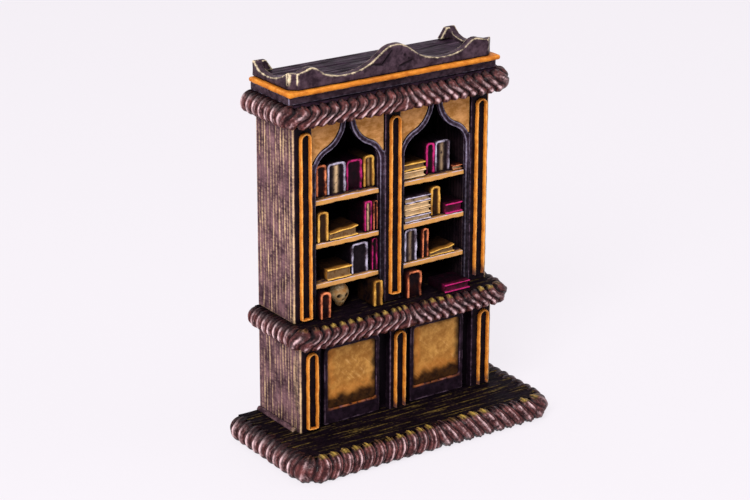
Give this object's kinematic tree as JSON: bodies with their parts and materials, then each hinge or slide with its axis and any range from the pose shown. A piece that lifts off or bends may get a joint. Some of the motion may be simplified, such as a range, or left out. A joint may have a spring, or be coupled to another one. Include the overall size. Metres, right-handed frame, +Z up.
{
  "type": "bookcase miniature",
  "caption": "Painted tabletop-scale bookcase: lower cabinet with fixed doors, open upper case with keel arches and shelves of books, rope mouldings on base, counter and cornice.",
  "frame": {"origin": "middle of the base's footprint, on the surface it stands on", "axes": "+Z up, front faces -Y, +X to the right seen from the front"},
  "size_m": [0.0454, 0.021, 0.0595],
  "materials": {
    "carcass": "satin",
    "rope": "satin",
    "base_top": "satin",
    "gold_trim": "satin",
    "tan_panel": "satin",
    "arch_moulding": "satin",
    "shelf": "satin",
    "bead": "satin",
    "books": "satin",
    "bone": "satin"
  },
  "bodies": {
    "root": {"base_plate": "base_top", "base_rope": "rope", "cornice_bead": "bead", "cornice_board": "carcass", "cornice_frieze": "carcass", "cornice_rope": "rope", "counter_board": "carcass", "counter_rope": "rope", "crest_front": "carcass", "crest_left": "carcass", "crest_right": "carcass", "left_arch_panel": "tan_panel", "left_arch_trim": "arch_moulding", "left_door_frame": "carcass", "left_door_panel": "tan_panel", "left_low_shelf": "shelf", "left_mid_shelf": "shelf", "left_row_1_books": "books", "left_row_2_books": "books", "left_row_2_lying": "books", "left_row_3_books": "books", "left_row_3_lying": "books", "left_row_4_books": "books", "left_skirting": "carcass", "left_top_shelf": "shelf", "lower_back_panel": "carcass", "lower_face_board": "carcass", "lower_left_pilaster": "carcass", "lower_left_side": "carcass", "lower_middle_pilaster": "carcass", "lower_right_pilaster": "carcass", "lower_right_side": "carcass", "lower_trims": "gold_trim", "right_arch_panel": "tan_panel", "right_arch_trim": "arch_moulding", "right_door_frame": "carcass", "right_door_panel": "tan_panel", "right_low_shelf": "shelf", "right_mid_shelf": "shelf", "right_row_1_books": "books", "right_row_1_lying": "books", "right_row_2_books": "books", "right_row_2_lying": "books", "right_row_3_books": "books", "right_row_3_lying": "books", "right_row_4_books": "books", "right_row_4_lying": "books", "right_skirting": "carcass", "right_top_shelf": "shelf", "roof_board": "carcass", "skull": "bone", "upper_back_panel": "carcass", "upper_left_pilaster": "carcass", "upper_left_side": "carcass", "upper_middle_pilaster": "carcass", "upper_partition": "carcass", "upper_right_pilaster": "carcass", "upper_right_side": "carcass", "upper_trims": "gold_trim"}
  },
  "joints": []
}
